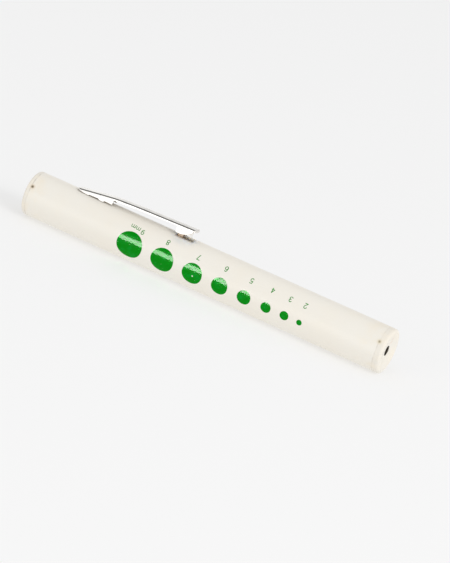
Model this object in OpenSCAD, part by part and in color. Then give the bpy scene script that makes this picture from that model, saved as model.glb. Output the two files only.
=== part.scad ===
// Pupil-gauge penlight: a plastic tube with two plugs, two cells in a row, a lens-end bulb
// behind a small light hole, and a metal pocket clip that rocks on a pin and works the light.
// The barrel lies along X with the nose at +X, the clip is at +Z and the gauge side faces -Y.

/* [Barrel] */
// Outer diameter of the tube and of both plug lips
barrel_d = 14.9; // [13:0.1:19]
// Length of the tube between its two seams
barrel_len = 125.7; // [104:0.1:150]
// Wall of the tube
barrel_wall = 1.1; // [1:0.05:1.4]
// Chamfer of the tube's ends and of the plug lips at the seams
seam_chamfer = 0.12; // [0.05:0.01:0.2]
// Width of the ribs that centre the cells
rib_w = 1.2; // [0.8:0.1:1.6]
// Height of the ribs on the tube's bore
rib_h = 0.85; // [0.5:0.05:1.3]

/* [Nose plug] */
// Length of the nose lip beyond its seam
nose_lip = 2.3; // [1.9:0.1:3]
// Edge radius of the nose lip
nose_edge_r = 0.9; // [0.5:0.05:1.1]
// Width of the rim round the dished face
nose_rim_w = 1.4; // [1.2:0.1:2]
// Depth of the dished face
nose_dish = 0.8; // [0.5:0.05:1.2]
// Width of the flat round the light hole
nose_flat_w = 0.8; // [0.4:0.1:1.4]
// Thickness of the face at the light hole
nose_face_t = 0.5; // [0.4:0.05:0.8]
// Diameter of the light hole
light_hole_d = 3.4; // [2.6:0.1:4]
// Length of the nose plug's spigot in the tube
nose_spigot_len = 16; // [14:0.5:18]

/* [Tail plug] */
// Length of the tail lip beyond its seam
tail_lip = 1.5; // [1.2:0.1:2.4]
// Edge radius of the tail lip
tail_edge_r = 0.7; // [0.4:0.05:1]
// Length of the tail plug's spigot in the tube
tail_spigot_len = 8; // [6:0.5:10]
// Thickness of the end wall inside the tail plug
tail_end_t = 2.5; // [2:0.1:3.5]
// Wall of both plugs' spigots
spigot_wall = 1.35; // [1:0.05:1.45]

/* [Cells] */
// Wall of a cell's can
cell_wall = 0.3; // [0.2:0.05:0.5]
// Diameter of a cell's terminal
terminal_d = 3.8; // [3:0.1:4.2]
// Height of a cell's terminal
terminal_h = 1; // [0.8:0.1:1.4]
// Thickness of a cell's seal and end plates
cell_plate_t = 0.6; // [0.4:0.05:0.8]

/* [Bulb] */
// Gap between the nose plug's face and the lens end
lens_gap = 1.35; // [0.6:0.05:1.8]
// Length of the glass beyond the screw shell
glass_reach = 9.4; // [8.5:0.1:11]
// Wall of the glass
glass_wall = 0.5; // [0.3:0.05:0.7]
// Width of the shoulder where the screw shell is drawn in to the glass
shoulder_w = 1.15; // [0.8:0.05:1.6]
// Length of the screw shell
shell_len = 9.5; // [8.5:0.5:10.5]
// Depth of the rolled thread
thread_depth = 0.25; // [0.1:0.05:0.3]
// Thickness of the black insulator
insulator_t = 0.9; // [0.7:0.1:1.2]
// Height of the solder tip
solder_h = 0.8; // [0.6:0.1:1]
// Length of the filament
filament_len = 1.8; // [1.2:0.1:2.2]
// Wall of the bulb holder
holder_wall = 0.4; // [0.3:0.05:0.5]
// Length of the bulb holder
holder_len = 13; // [11:0.5:15]
// Thickness of the insulating washer
washer_t = 1.3; // [1.1:0.1:1.4]

/* [Tail spring and strips] */
// Wire diameter of the tail spring
wire_d = 0.7; // [0.5:0.05:0.9]
// Length of the tail spring between its contact and the rear cell
spring_len = 14.35; // [11:0.05:18]
// Outer diameter of the tail spring at the cell
spring_d_cell = 6.6; // [5.8:0.1:8]
// Turns of the tail spring
spring_turns = 7; // [6:1:8]
// Thickness of the tail contact
tail_contact_t = 0.4; // [0.3:0.05:0.6]
// Width of the contact strips
strip_w = 3; // [2.4:0.1:3.2]
// Thickness of the contact strips
strip_t = 0.3; // [0.2:0.05:0.35]

/* [Pocket clip] */
// Width of the clip
clip_w = 3; // [2.8:0.1:3.6]
// Thickness of the clip's sheet
clip_t = 0.35; // [0.3:0.05:0.4]
// Distance from the pin to the clip's tip
tip_reach = 38.1; // [34:0.1:42]
// Distance from the pin to the bend near the tip
bend_reach = 24.3; // [22:0.1:27]
// Distance from the pin to the crown of the clip's back
crown_reach = 16; // [12:0.1:19]
// Distance from the pin to the clip's head end
head_reach = 5; // [4.6:0.1:6]
// Height of the tip's top above the barrel
tip_h = 0.75; // [0.7:0.05:1]
// Height of the bend's top above the barrel
bend_h = 2.65; // [2.4:0.05:3]
// Height of the crown's top above the barrel
crown_h = 3.02; // [2.9:0.02:3.3]
// Height of the head's top above the barrel
head_h = 3.6; // [3.35:0.05:3.9]
// Depth of the side flanges along the clip's back
flange_depth = 1.05; // [0.8:0.05:1.2]
// Gap between the clip's foot and the barrel
foot_gap = 0.05; // [0:0.05:0.4]
// Length of the foot
foot_len = 4.7; // [4:0.1:6]
// Step at the foot's outer end
foot_step = 0.1; // [0.05:0.05:0.35]
// Rise of the foot's sole towards the bend
foot_rise = 0.4; // [0.1:0.05:0.5]
// Radius of the relief notch at the bend
notch_r = 0.55; // [0.4:0.05:0.7]
// Height of the head's flanges above the barrel
head_gap = 1.07; // [1:0.01:1.2]
// Height of the head's rounded lower front corner
head_round = 2.1; // [1.4:0.1:2.2]
// Length of the head's rounded lower front corner
head_run = 4.2; // [3:0.1:4.5]
// Distance from the pin to the head's inner step
head_step = 1; // [0.9:0.05:1.3]

/* [Switch] */
// Distance from the tail seam to the switch slot
slot_from_tail = 50; // [46:0.05:54]
// Length of the switch slot
slot_len = 6.25; // [6:0.05:7]
// Width of the switch slot
slot_w = 3.4; // [3.3:0.1:3.8]
// Diameter of the pin
pin_d = 0.9; // [0.7:0.05:1]
// Height of the pin above the barrel
pin_h = 2; // [1.9:0.05:2.1]
// Distance from the slot's end to the pin
pin_from_slot = 1.4; // [1.3:0.05:1.5]
// Thickness of the bracket's sheet
bracket_t = 0.4; // [0.3:0.05:0.4]
// Radius of the bracket's ears round the pin
ear_r = 0.9; // [0.8:0.02:0.92]
// Depth of the bracket's saddle below the barrel's top
saddle_depth = 0.6; // [0.3:0.05:0.8]
// Angle that the clip turns when its head is pressed
press_angle = 8; // [5:0.5:9]
// Distance from the pin to the striker tab under the head
tab_reach = 3.2; // [3:0.05:3.4]
// Width of the striker tab
tab_w = 1.6; // [1.2:0.1:1.8]
// Depth of the striker tab's end below the barrel's top
tab_depth = 0.55; // [0.3:0.05:0.6]
// Length of the contact pad under the striker tab
pad_len = 2; // [1.6:0.1:2.1]
// Thickness of the return leaf
leaf_t = 0.2; // [0.15:0.01:0.25]

/* [Clearances] */
// Radial clearance of pieces that are pushed together
fit_gap = 0.05; // [0.03:0.01:0.08]
// Radial clearance of the pin in the clip
run_gap = 0.03; // [0.02:0.01:0.05]
// Clearance beside pieces that move
side_gap = 0.15; // [0.1:0.01:0.15]
// Clearance of the cells in their ribs
cell_gap = 0.25; // [0.15:0.05:0.3]
// Radial clearance of the tail spring in its plug
spring_gap = 0.5; // [0.3:0.05:0.8]

/* [Hidden] */
$fn = 96;
ivory = "ivory";
nickel = "silver";
brass = "goldenrod";
steel = "lightsteelblue";
cut = 1;

// Barrel, seams and plugs
barrel_r = barrel_d / 2;
bore_r = barrel_r - barrel_wall;
rib_r = bore_r - rib_h;
axis_z = barrel_r;
top_z = barrel_d;
overall_len = barrel_len + nose_lip + tail_lip;
tail_x = -overall_len / 2;
nose_x = overall_len / 2;
tail_seam_x = tail_x + tail_lip;
nose_seam_x = nose_x - nose_lip;
spigot_r = bore_r - fit_gap;
spigot_bore_r = spigot_r - spigot_wall;
nose_floor_x = nose_x - nose_dish;
nose_back_x = nose_floor_x - nose_face_t;
nose_spigot_x = nose_seam_x - nose_spigot_len;
tail_spigot_x = tail_seam_x + tail_spigot_len;
tail_floor_x = tail_x + tail_end_t;

// Bulb in a row from the nose, in a holder that fills the nose plug's bore
lens_x = nose_back_x - lens_gap;
shell_front_x = lens_x - glass_reach;
shell_back_x = shell_front_x - shell_len;
insulator_x = shell_back_x - insulator_t;
bulb_tip_x = insulator_x - solder_h;
holder_r = spigot_bore_r - fit_gap;
holder_bore_r = holder_r - holder_wall;
shell_r = holder_bore_r - fit_gap;
shell_wall = 0.3;
shell_inner_r = shell_r - thread_depth - shell_wall;
thread_count = 4;
glass_r = shell_inner_r - shoulder_w;
stem_r = 1;
stem_reach = 2;
lead_r = 0.15;
filament_r = 0.12;
filament_reach = 5;
solder_r = 1.4;
insulator_rim_r = 2;

// Tail contact, then the cells, which share the room between the bulb and the tail spring
tail_contact_x = tail_floor_x + tail_contact_t;
tail_contact_r = spigot_bore_r - fit_gap;
cell_count = 2;
cell_len = (bulb_tip_x - tail_contact_x - spring_len) / cell_count;
cell_r = rib_r - cell_gap;
core_r = cell_r - cell_wall - fit_gap;
terminal_r = terminal_d / 2;
terminal_flange = 1.5;
rear_of_front_x = bulb_tip_x - cell_len;
rear_of_rear_x = rear_of_front_x - cell_len;
washer_x = bulb_tip_x - terminal_h;
washer_hole_r = terminal_r + cell_gap;
holder_x = washer_x + washer_t;
holder_flange_t = 0.8;

// Tail spring
wire_r = wire_d / 2;
spring_plug_r = spigot_bore_r - spring_gap;
spring_start_x = tail_contact_x + wire_r + fit_gap;
spring_end_x = rear_of_rear_x - wire_r - fit_gap;
coil_gap = 0.45;
closed_pitch = wire_d + coil_gap;
open_pitch = (spring_end_x - spring_start_x - 2 * closed_pitch) / (spring_turns - 2);

// Ribs
rib_count = 4;
rib_clear = 1;
rib_x0 = tail_spigot_x + rib_clear;
rib_x1 = washer_x - rib_clear;

// Slot, strips and switch
slot_x = tail_seam_x + slot_from_tail;
slot_end_x = slot_x + slot_len;
strip_gap = 0.07;
strip_top = sqrt(pow(bore_r, 2) - pow(strip_w / 2, 2)) - strip_gap;
strip_bottom = strip_top - strip_t;
strip_join = 3;
groove_gap = 0.25;
tab_groove_w = strip_w + 2 * groove_gap;
contact_tab_w = strip_w - 2 * groove_gap;
washer_r = strip_bottom - fit_gap - side_gap;
holder_flange_r = strip_bottom - fit_gap;
pin_x = slot_x + pin_from_slot;
pin_z = top_z + pin_h;
pin_r = pin_d / 2;
clip_inner_w = clip_w - 2 * clip_t;
ear_outer_y = clip_inner_w / 2 - side_gap;
ear_inner_y = ear_outer_y - bracket_t;
saddle_x0 = slot_x + fit_gap;
saddle_x1 = pin_x + ear_r;
saddle_w = slot_w - 2 * fit_gap;
base_top = strip_bottom;
base_bottom = base_top - bracket_t;
base_x0 = slot_x - strip_join;
strip_end_x = slot_x - strip_gap;
press_drop = (tab_reach + clip_t / 2) * sin(press_angle) + (pin_h + tab_depth) * (cos(press_angle) - 1);
contact_gap = 0.05;
pad_top_h = -tab_depth - press_drop - contact_gap;
pad_x0 = pin_x + tab_reach + clip_t - pad_len;
pad_x1 = pin_x + tab_reach + clip_t;
ramp_run = 0.5;
leaf_w = 2 * ear_inner_y - 2 * fit_gap;
leaf_rise_x = pin_x + ear_r + side_gap;
leaf_end_x = pin_x + tab_reach - clip_t - 2 * side_gap;

// Clip outline, with x from the pin and height above the barrel
head_start = -head_step;
clip_back = [[-tip_reach, tip_h], [-bend_reach, bend_h], [-crown_reach, crown_h], [head_reach, head_h]];
foot_x1 = -bend_reach - notch_r;
foot_x0 = foot_x1 - foot_len;
corner_step = 10;

function unit(v) = v / norm(v);
function left_of(v) = [-v.y, v.x];
function heading(path, i) = unit(path[i + 1] - path[i]);
function corner_normal(path, i) =
    i == 0 ? left_of(heading(path, 0)) :
    i == len(path) - 1 ? left_of(heading(path, i - 1)) :
    let (n = left_of(heading(path, i - 1)) + left_of(heading(path, i))) 2 * n / (n * n);
// Closed outline of a strip of even thickness to the left of a path
function ribbon(path, thickness) = concat(
    path,
    [for (i = [len(path) - 1 : -1 : 0]) path[i] + thickness * corner_normal(path, i)]
);
// Height of the clip's back at a distance from the pin
function back_h(x) = lookup(x, clip_back);

// Distance along the spring and coil radius after a number of turns
function coil_x(turn) =
    spring_start_x + closed_pitch * min(turn, 1)
    + open_pitch * max(min(turn, spring_turns - 1) - 1, 0)
    + closed_pitch * max(turn - spring_turns + 1, 0);
function coil_r(turn) =
    let (wide = spring_plug_r - wire_r, narrow = spring_d_cell / 2 - wire_r)
    wide + (narrow - wide) * turn / spring_turns;
rings_per_turn = 8;
wire_sides = 6;
coil_rings = spring_turns * rings_per_turn;
function coil_point(k) =
    let (turn = k / rings_per_turn, a = 360 * turn)
    [coil_x(turn), coil_r(turn) * cos(a), axis_z + coil_r(turn) * sin(a)];
coil = [for (k = [0 : coil_rings]) coil_point(k)];
coil_gaps = [for (k = [0 : coil_rings - rings_per_turn]) norm(coil[k + rings_per_turn] - coil[k]) - wire_d];
echo(spring_least_gap = min(coil_gaps));
// Ring of points round the wire at one place of the coil, and the number of a point in the rings
function wire_ring(k) =
    let (
        a = 360 * k / rings_per_turn,
        along = unit(coil[min(k + 1, coil_rings)] - coil[max(k - 1, 0)]),
        outward = unit(cross(cross(along, [0, cos(a), sin(a)]), along)),
        sideways = cross(along, outward)
    )
    [for (j = [0 : wire_sides - 1])
        let (b = 360 * j / wire_sides) coil[k] + wire_r * (cos(b) * outward + sin(b) * sideways)];
function wire_at(k, j) = k * wire_sides + j % wire_sides;

// Places a shape drawn along Z on the barrel's axis, at a distance from the barrel's middle
module on_axis(x) {
    translate([x, 0, axis_z]) rotate([0, 90, 0]) children();
}

// Turns a profile of radius and distance along the barrel about the barrel's axis
module turned() {
    on_axis(0) rotate_extrude() children();
}

// Disc or ring on the barrel's axis
module ring(x0, x1, outer_r, inner_r = 0) {
    turned() translate([inner_r, x0]) square([outer_r - inner_r, x1 - x0]);
}

// Extrudes an outline drawn in X and Z across the barrel
module across(width) {
    rotate([90, 0, 0]) linear_extrude(width, center = true) children();
}

// Same, for an outline drawn from the pin and from the barrel's top
module across_clip(width) {
    translate([pin_x, 0, top_z]) across(width) children();
}

// Block between two corners, centred across the barrel
module block(x0, x1, width, z0, z1) {
    translate([x0, -width / 2, z0]) cube([x1 - x0, width, z1 - z0]);
}

// Lip profile of a plug: full radius at the seam, rounded at its outer end
module lip_profile(length, edge_r) {
    square([barrel_r - seam_chamfer, length - edge_r]);
    translate([0, seam_chamfer]) square([barrel_r, length - edge_r - seam_chamfer]);
    square([barrel_r - edge_r, length]);
    translate([barrel_r - edge_r, length - edge_r]) circle(edge_r);
    polygon([[0, 0], [barrel_r - seam_chamfer, 0], [barrel_r, seam_chamfer], [0, seam_chamfer]]);
}

module barrel() color(ivory) difference() {
    union() {
        turned() polygon([
            [bore_r, tail_seam_x], [barrel_r - seam_chamfer, tail_seam_x],
            [barrel_r, tail_seam_x + seam_chamfer], [barrel_r, nose_seam_x - seam_chamfer],
            [barrel_r - seam_chamfer, nose_seam_x], [bore_r, nose_seam_x]
        ]);
        for (i = [0 : rib_count - 1])
            translate([0, 0, axis_z]) rotate([(i + 0.5) * 360 / rib_count, 0, 0])
                translate([rib_x0, -rib_w / 2, rib_r])
                    cube([rib_x1 - rib_x0, rib_w, bore_r + barrel_wall / 2 - rib_r]);
    }
    block(slot_x, slot_end_x, slot_w, axis_z + strip_bottom, top_z + cut);
}

module nose_plug() color(ivory) difference() {
    union() {
        turned() translate([0, nose_seam_x]) lip_profile(nose_lip, nose_edge_r);
        ring(nose_spigot_x, nose_seam_x + seam_chamfer, spigot_r);
    }
    turned() polygon([
        [0, nose_floor_x], [light_hole_d / 2 + nose_flat_w, nose_floor_x], [barrel_r - nose_rim_w, nose_x],
        [barrel_r - nose_rim_w, nose_x + cut], [0, nose_x + cut]
    ]);
    ring(nose_back_x - cut, nose_floor_x + cut, light_hole_d / 2);
    ring(nose_spigot_x - cut, nose_back_x, spigot_bore_r);
}

module tail_plug() color(ivory) difference() {
    union() {
        translate([tail_seam_x, 0, 0]) mirror([1, 0, 0]) turned() lip_profile(tail_lip, tail_edge_r);
        ring(tail_seam_x - seam_chamfer, tail_spigot_x, spigot_r);
    }
    ring(tail_floor_x, tail_spigot_x + cut, spigot_bore_r);
    block(tail_floor_x, tail_spigot_x + cut, tab_groove_w, axis_z, top_z);
}

module tail_contact() color(brass) {
    ring(tail_floor_x, tail_contact_x, tail_contact_r);
    block(tail_floor_x, tail_contact_x, contact_tab_w, axis_z, axis_z + strip_bottom - fit_gap);
}

// One unbroken wire: rings of points round the coil's centre line, joined by triangles
module tail_spring() color(steel) {
    points = [for (k = [0 : coil_rings]) each wire_ring(k)];
    walls = [for (k = [0 : coil_rings - 1], j = [0 : wire_sides - 1])
        each [
            [wire_at(k, j), wire_at(k + 1, j), wire_at(k + 1, j + 1)],
            [wire_at(k, j), wire_at(k + 1, j + 1), wire_at(k, j + 1)]
        ]];
    start_cap = [for (j = [1 : wire_sides - 2]) [wire_at(0, 0), wire_at(0, j), wire_at(0, j + 1)]];
    end_cap = [for (j = [1 : wire_sides - 2])
        [wire_at(coil_rings, 0), wire_at(coil_rings, j + 1), wire_at(coil_rings, j)]];
    polyhedron(points, concat(walls, start_cap, end_cap));
}

// Side outline of the whole clip: back, rounded head, flanges, notch, foot and tip
module clip_outline() {
    head_turn = [head_reach - head_run, head_gap + head_round];
    polygon(concat(
        clip_back,
        [for (a = [0 : -corner_step : -90]) head_turn + [head_run * cos(a), head_round * sin(a)]],
        [
            [head_start, head_gap],
            [head_start, back_h(head_start) - flange_depth],
            [-crown_reach, crown_h - flange_depth],
            [foot_x1, bend_h - flange_depth],
            [foot_x1, foot_gap + foot_rise],
            [foot_x0, foot_gap],
            [foot_x0, foot_gap + foot_step],
            [-tip_reach, tip_h - clip_t]
        ]
    ));
}

// Plan of the clip: a bar with round ends, drawn in by a margin
module clip_plan(margin) {
    end_r = clip_w / 2;
    span = tip_reach + head_reach - 2 * end_r;
    translate([pin_x - tip_reach + end_r, 0, 0]) linear_extrude(top_z + head_h + cut) {
        translate([0, margin - end_r]) square([span, 2 * (end_r - margin)]);
        circle(end_r - margin);
        translate([span, 0]) circle(end_r - margin);
    }
}

module pocket_clip() color(nickel) difference() {
    union() {
        difference() {
            intersection() {
                across_clip(clip_w) clip_outline();
                clip_plan(0);
            }
            intersection() {
                across_clip(clip_w) polygon(concat(
                    [for (p = clip_back) p - [0, clip_t]],
                    [[head_reach, -cut], [-tip_reach, -cut]]
                ));
                clip_plan(clip_t);
            }
        }
        block(
            pin_x + tab_reach - clip_t / 2, pin_x + tab_reach + clip_t / 2, tab_w,
            top_z - tab_depth, top_z + back_h(tab_reach) - clip_t / 2
        );
    }
    translate([pin_x, 0, pin_z]) across(clip_w + cut) circle(pin_r + run_gap);
    across_clip(clip_w + cut) translate([foot_x1 + notch_r, bend_h - flange_depth]) circle(notch_r);
}

module clip_bracket() color(brass) difference() {
    union() {
        block(base_x0, saddle_x1, contact_tab_w, axis_z + base_bottom, axis_z + base_top);
        block(saddle_x0, saddle_x1, saddle_w, axis_z + base_bottom, top_z - saddle_depth);
        for (side = [-1, 1]) translate([0, side * (ear_inner_y + ear_outer_y) / 2, 0]) {
            block(pin_x - ear_r, pin_x + ear_r, bracket_t, top_z - saddle_depth - bracket_t, pin_z);
            translate([pin_x, 0, pin_z]) across(bracket_t) circle(ear_r);
        }
    }
    translate([pin_x, 0, pin_z]) across(clip_w) circle(pin_r + run_gap);
}

module clip_pin() color(steel) {
    translate([pin_x, 0, pin_z]) across(clip_w) circle(pin_r);
}

// Spring leaf on the saddle, between the ears, that holds the clip's head up
module return_leaf() color(steel) {
    rest_h = back_h(leaf_end_x - pin_x) - clip_t - leaf_t - fit_gap;
    translate([0, 0, top_z]) across(leaf_w) polygon(ribbon([
        [saddle_x0 + fit_gap, -saddle_depth], [leaf_rise_x, -saddle_depth],
        [leaf_end_x - ramp_run, rest_h - ramp_run / 2], [leaf_end_x, rest_h]
    ], leaf_t));
}

// Strip from the bulb holder to the slot, with its end raised under the striker tab
module contact_leaf() color(brass) {
    pad_z = top_z + pad_top_h - strip_t;
    run_z = axis_z + strip_bottom;
    across(tab_w) polygon(ribbon([
        [pad_x0, pad_z], [pad_x1, pad_z], [pad_x1 + ramp_run, run_z], [slot_end_x + cut, run_z]
    ], strip_t));
    block(slot_end_x, holder_x + holder_flange_t, contact_tab_w, run_z, run_z + strip_t);
}

// Strip from the tail contact to the clip bracket
module ground_strip() color(brass) {
    block(tail_floor_x + fit_gap, strip_end_x, strip_w, axis_z + strip_bottom, axis_z + strip_top);
}

module bulb_holder() color(brass) {
    ring(holder_x, holder_x + holder_flange_t, holder_flange_r, holder_bore_r);
    ring(holder_x, holder_x + holder_len, holder_r, holder_bore_r);
}

// Screw shell with a rolled thread, drawn in at its front round the glass
module bulb_shell() color(brass) {
    thread_pitch = shell_len / (2 * thread_count + 1);
    ring(shell_back_x, shell_front_x, shell_r - thread_depth, shell_inner_r);
    ring(shell_front_x - shell_wall, shell_front_x, shell_r - thread_depth, glass_r + fit_gap);
    for (i = [0 : thread_count - 1]) turned()
        translate([shell_r - thread_depth, shell_back_x + (2 * i + 1) * thread_pitch])
            polygon([
                [-shell_wall / 2, 0], [0, 0], [thread_depth, thread_pitch / 2],
                [0, thread_pitch], [-shell_wall / 2, thread_pitch]
            ]);
}

// Glass tube that closes in a solid round lens
module bulb_glass() color("lightcyan", 0.5) difference() {
    union() {
        ring(shell_front_x - stem_reach, lens_x - glass_r, glass_r);
        intersection() {
            translate([lens_x - glass_r, 0, axis_z]) sphere(glass_r);
            ring(lens_x - glass_r, lens_x, glass_r);
        }
    }
    ring(shell_front_x - stem_reach - cut, lens_x - glass_r, glass_r - glass_wall);
}

module bulb_stem() color("lightcyan", 0.5) {
    ring(shell_back_x, shell_front_x + stem_reach, stem_r);
}

// Two lead wires on the stem with the filament across their ends
module bulb_filament() color("dimgray") {
    lead_y = filament_len / 2 - lead_r;
    for (side = [-1, 1]) translate([shell_front_x + stem_reach, side * lead_y, axis_z])
        rotate([0, 90, 0]) cylinder(filament_reach - stem_reach, lead_r, lead_r);
    translate([shell_front_x + filament_reach - filament_r, 0, axis_z])
        across(filament_len - 2 * lead_r) circle(filament_r);
}

module bulb_insulator() color("black") {
    on_axis(insulator_x) cylinder(insulator_t, insulator_rim_r, shell_inner_r);
}

module bulb_tip() color("lightgray") {
    on_axis(bulb_tip_x) cylinder(solder_h, solder_r, solder_r);
}

module insulating_washer() color("saddlebrown") {
    ring(washer_x, washer_x + washer_t, washer_r, washer_hole_r);
}

// Can of a cell whose negative end is at x, open at both ends
module cell_can(x) color("darkorange") {
    ring(x, x + cell_len - terminal_h, cell_r, cell_r - cell_wall);
}

module cell_core(x) color("dimgray") {
    ring(x + cell_plate_t, x + cell_len - terminal_h - 2 * cell_plate_t, core_r);
}

module cell_seal(x) color("gray") {
    ring(x + cell_len - terminal_h - cell_plate_t, x + cell_len - terminal_h, core_r, terminal_r + fit_gap);
}

module cell_terminal(x) color(steel) {
    ring(x + cell_len - terminal_h - cell_plate_t, x + cell_len, terminal_r);
    ring(
        x + cell_len - terminal_h - 2 * cell_plate_t, x + cell_len - terminal_h - cell_plate_t,
        terminal_r + terminal_flange
    );
}

module cell_base(x) color(steel) {
    ring(x, x + cell_plate_t, core_r);
}

barrel();
nose_plug();
tail_plug();
tail_contact();
tail_spring();
pocket_clip();
clip_bracket();
clip_pin();
return_leaf();
contact_leaf();
ground_strip();
bulb_holder();
bulb_shell();
bulb_glass();
bulb_stem();
bulb_filament();
bulb_insulator();
bulb_tip();
insulating_washer();
cell_can(rear_of_front_x);  // front_cell_can
cell_core(rear_of_front_x);  // front_cell_core
cell_seal(rear_of_front_x);  // front_cell_seal
cell_terminal(rear_of_front_x);  // front_cell_terminal
cell_base(rear_of_front_x);  // front_cell_base
cell_can(rear_of_rear_x);  // rear_cell_can
cell_core(rear_of_rear_x);  // rear_cell_core
cell_seal(rear_of_rear_x);  // rear_cell_seal
cell_terminal(rear_of_rear_x);  // rear_cell_terminal
cell_base(rear_of_rear_x);  // rear_cell_base
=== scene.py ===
import math

import bmesh
import bpy
import numpy as np
from bpy.props import FloatProperty, FloatVectorProperty, PointerProperty
from bpy.types import NodeSocket, Operator, Panel, PropertyGroup
from mathutils import Matrix, Vector


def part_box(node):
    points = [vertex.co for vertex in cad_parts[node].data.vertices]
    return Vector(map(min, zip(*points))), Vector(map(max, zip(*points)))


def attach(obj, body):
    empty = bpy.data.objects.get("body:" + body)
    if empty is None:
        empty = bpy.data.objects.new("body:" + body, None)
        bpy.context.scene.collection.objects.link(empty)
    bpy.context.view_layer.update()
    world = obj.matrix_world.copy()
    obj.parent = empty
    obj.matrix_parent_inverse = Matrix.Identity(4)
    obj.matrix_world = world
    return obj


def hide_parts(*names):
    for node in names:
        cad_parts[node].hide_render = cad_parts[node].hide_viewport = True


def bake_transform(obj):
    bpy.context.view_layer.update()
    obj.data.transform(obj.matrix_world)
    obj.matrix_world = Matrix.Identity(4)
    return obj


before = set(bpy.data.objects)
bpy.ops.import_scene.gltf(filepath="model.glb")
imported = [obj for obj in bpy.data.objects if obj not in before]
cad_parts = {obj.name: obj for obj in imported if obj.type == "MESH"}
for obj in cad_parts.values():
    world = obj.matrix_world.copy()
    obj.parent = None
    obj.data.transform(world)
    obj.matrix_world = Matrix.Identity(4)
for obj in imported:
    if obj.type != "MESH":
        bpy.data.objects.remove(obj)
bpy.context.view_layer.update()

bl_info = {
    "name": "Pupil-gauge penlight",
    "version": (1, 0, 0),
    "blender": (4, 5, 0),
    "location": "View3D > Sidebar > Penlight",
    "description": "Dresses the packed penlight with smooth surfaces, print, finishes and a studio",
    "category": "Object",
}

# The tube lies along X with its nose at +X, the clip is on top and the gauge faces -Y.
# Sizes are in metres; MM turns millimetres into metres.
MM = 0.001

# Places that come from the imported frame
BARREL_LO, BARREL_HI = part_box("barrel")
NOSE_LO, NOSE_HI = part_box("nose_plug")
TAIL_LO, TAIL_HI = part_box("tail_plug")
CLIP_LO, CLIP_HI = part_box("pocket_clip")
SPRING_LO, SPRING_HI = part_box("tail_spring")
LEAF_LO, LEAF_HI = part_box("return_leaf")
PIN_LO, PIN_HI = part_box("clip_pin")
BARREL_R = (BARREL_HI.y - BARREL_LO.y) / 2
AXIS_Z = (BARREL_HI.z + BARREL_LO.z) / 2
TOP_Z = BARREL_HI.z
PIN_X = (PIN_LO.x + PIN_HI.x) / 2
PIN_Z = (PIN_LO.z + PIN_HI.z) / 2

# The shell stands back from the CAD surface by the room that the print film needs
PRINT_ROOM = 0.02 * MM
SKIN_R = BARREL_R - PRINT_ROOM
ROUND_STEPS = 192
SMOOTH_ANGLE = math.radians(32)
WELD = 0.0002 * MM

# The photograph's frame and the camera that was fitted to it
IMAGE_W, IMAGE_H = 450, 563
FOCAL_PX = 3343.2
SENSOR = 36.0
CAMERA_PLACE = Vector((0.32802, -0.94131, 0.35247))
CAMERA_AIM = Vector((0.00528, 0.00392, 0.00506))
CAMERA_ROLL = math.radians(17.73)


def linear(red, green, blue):
    """Linear colour of an sRGB colour given in steps of 0 to 255."""
    srgb = np.array((red, green, blue)) / 255
    return tuple(np.where(srgb <= 0.04045, srgb / 12.92, ((srgb + 0.055) / 1.055) ** 2.4).tolist())


def length(name, default_mm, description):
    """Length property with its default in millimetres."""
    return FloatProperty(name=name, description=description, default=default_mm * MM,
                         min=0.0, precision=6, subtype="DISTANCE", unit="LENGTH")


def colour(name, default, description):
    """Linear colour property."""
    return FloatVectorProperty(name=name, description=description, default=default,
                               min=0.0, max=1.0, size=3, subtype="COLOR")


def factor(name, default, description, top=1.0):
    """Plain number property."""
    return FloatProperty(name=name, description=description, default=default,
                         min=0.0, max=top, subtype="FACTOR" if top == 1.0 else "NONE")


def power(name, default, lamp):
    """Power property of a lamp in watts."""
    return factor(name, default, f"Power of the {lamp}, in watts", 100.0)


# Settings

class PenlightShell(PropertyGroup):
    """Tube and plugs."""
    wall: length("Tube wall", 1.1, "Wall of the tube")
    seam_chamfer: length("Seam chamfer", 0.03, "Chamfer at the two seams")
    nose_edge: length("Nose edge", 0.9, "Edge radius of the nose plug")
    nose_rim: length("Nose rim", 1.4, "Width of the rim round the dished face")
    nose_dish: length("Nose dish", 0.8, "Depth of the dished face")
    nose_flat: length("Nose flat", 0.8, "Width of the flat ring round the light hole")
    nose_face: length("Nose face", 0.5, "Thickness of the dished face at the light hole")
    light_hole: length("Light hole", 3.4, "Diameter of the light hole")
    tail_edge: length("Tail edge", 0.7, "Edge radius of the tail plug")
    tail_wall: length("Tail wall", 2.5, "Thickness of the tail plug's end")
    spigot_wall: length("Spigot wall", 1.35, "Wall of both spigots")
    fit_gap: length("Fit gap", 0.05, "Clearance of pushed fits")
    slot_from_tail: length("Slot place", 50.0, "Distance from the tail seam to the switch slot")
    slot_length: length("Slot length", 6.25, "Length of the switch slot")
    slot_width: length("Slot width", 3.4, "Width of the switch slot")
    groove_width: length("Groove width", 3.5, "Width of the strip groove in the tail plug")
    rib_width: length("Rib width", 1.2, "Width of the ribs in the bore")
    rib_height: length("Rib height", 0.85, "Height of the ribs in the bore")
    ivory: colour("Ivory", linear(237, 233, 224), "Colour of the plastic")
    ivory_warm: colour("Warm ivory", linear(238, 230, 215), "Colour of the aged plastic near the ends")
    ivory_plug: colour("Plug ivory", linear(231, 226, 216), "Colour of the plugs at the two ends")
    dirt: colour("Dirt", linear(112, 84, 58), "Colour of the dirt in the seams")


class PenlightGauge(PropertyGroup):
    """Printed dots and numbers."""
    film: length("Ink film", 0.012, "Height of the ink above the plastic")
    number_height: length("Number height", 1.95, "Height of a printed number")
    stroke: length("Stroke", 0.23, "Line width of the numbers")
    ink: colour("Ink", (0.0, 0.232, 0.004), "Colour of the ink")
    ink_thin: colour("Thin ink", (0.001, 0.285, 0.022), "Colour of the ink where it is thin")


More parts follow.
